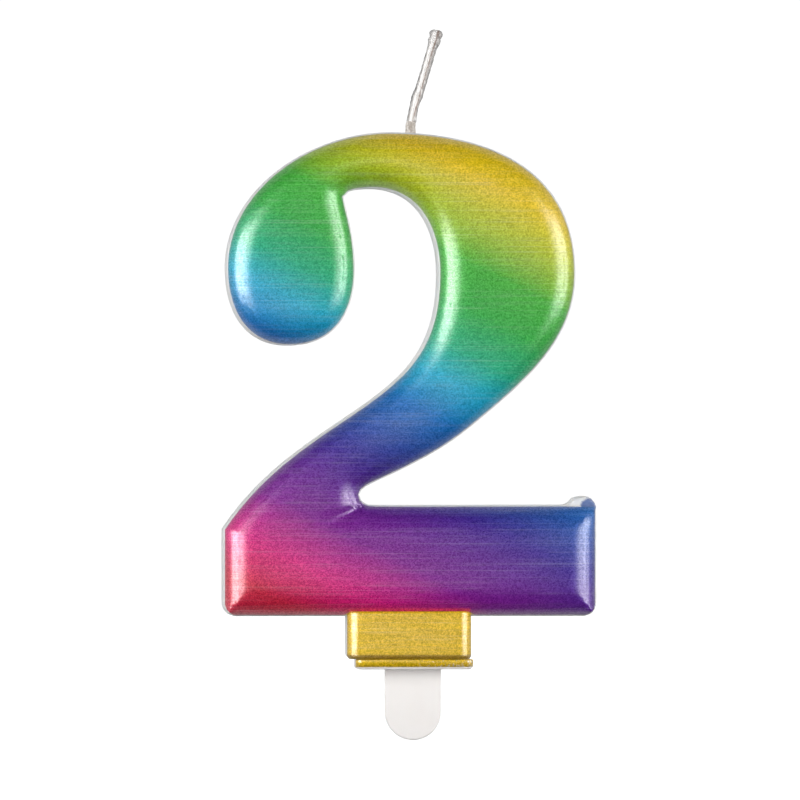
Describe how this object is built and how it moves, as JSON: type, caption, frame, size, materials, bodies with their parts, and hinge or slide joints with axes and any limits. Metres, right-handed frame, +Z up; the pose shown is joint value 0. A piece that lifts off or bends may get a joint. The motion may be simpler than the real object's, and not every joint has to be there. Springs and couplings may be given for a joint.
{
  "type": "number birthday candle",
  "caption": "Numeral birthday candle: a foil-skinned wax figure two on a gold foot, with a bent wick on top and a plastic pick below that pushes into a cake.",
  "frame": {"origin": "middle of the underside of the pick's flange, where the top of the cake meets the candle", "axes": "+Z up to the wick, -Y the foiled front of the numeral, +X to the reader's right; the pick's mid-plane is y = 0"},
  "size_m": [0.0466, 0.0101, 0.0889],
  "materials": {
    "wax": "pale grey-white paraffin wax, bare on the sides and the back",
    "rainbow_foil": "brushed metallic film, coloured in slanting rainbow bands",
    "gold_foil": "brushed gold metallic film",
    "cotton": "waxed cotton cord",
    "coated_cotton": "waxed cotton cord with a silvery coat",
    "clear_plastic": "milky, slightly see-through plastic"
  },
  "bodies": {
    "pick": {"pick": "clear_plastic", "flange_foil": "gold_foil"},
    "candle": {"wax_body": "wax", "rainbow_foil": "rainbow_foil", "foot_foil": "gold_foil", "wick_core": "cotton"},
    "wick_lower": {"wick_lower": "coated_cotton"},
    "wick_upper": {"wick_upper": "coated_cotton"}
  },
  "joints": [
    {"name": "candle_lift", "type": "slide", "parent": "pick", "child": "candle", "axis": [0, 0, 1], "range_m": [0, 0.0095]},
    {"name": "wick_lean", "type": "hinge", "parent": "candle", "child": "wick_lower", "pos_m": [-0.0003, -0.0006, 0.0678], "axis": [0, 1, 0], "range_deg": [-40, 25]},
    {"name": "wick_nod", "type": "hinge", "parent": "wick_lower", "child": "wick_upper", "pos_m": [0.00065, -0.0006, 0.0716], "axis": [1, 0, 0], "range_deg": [-35, 35]}
  ]
}
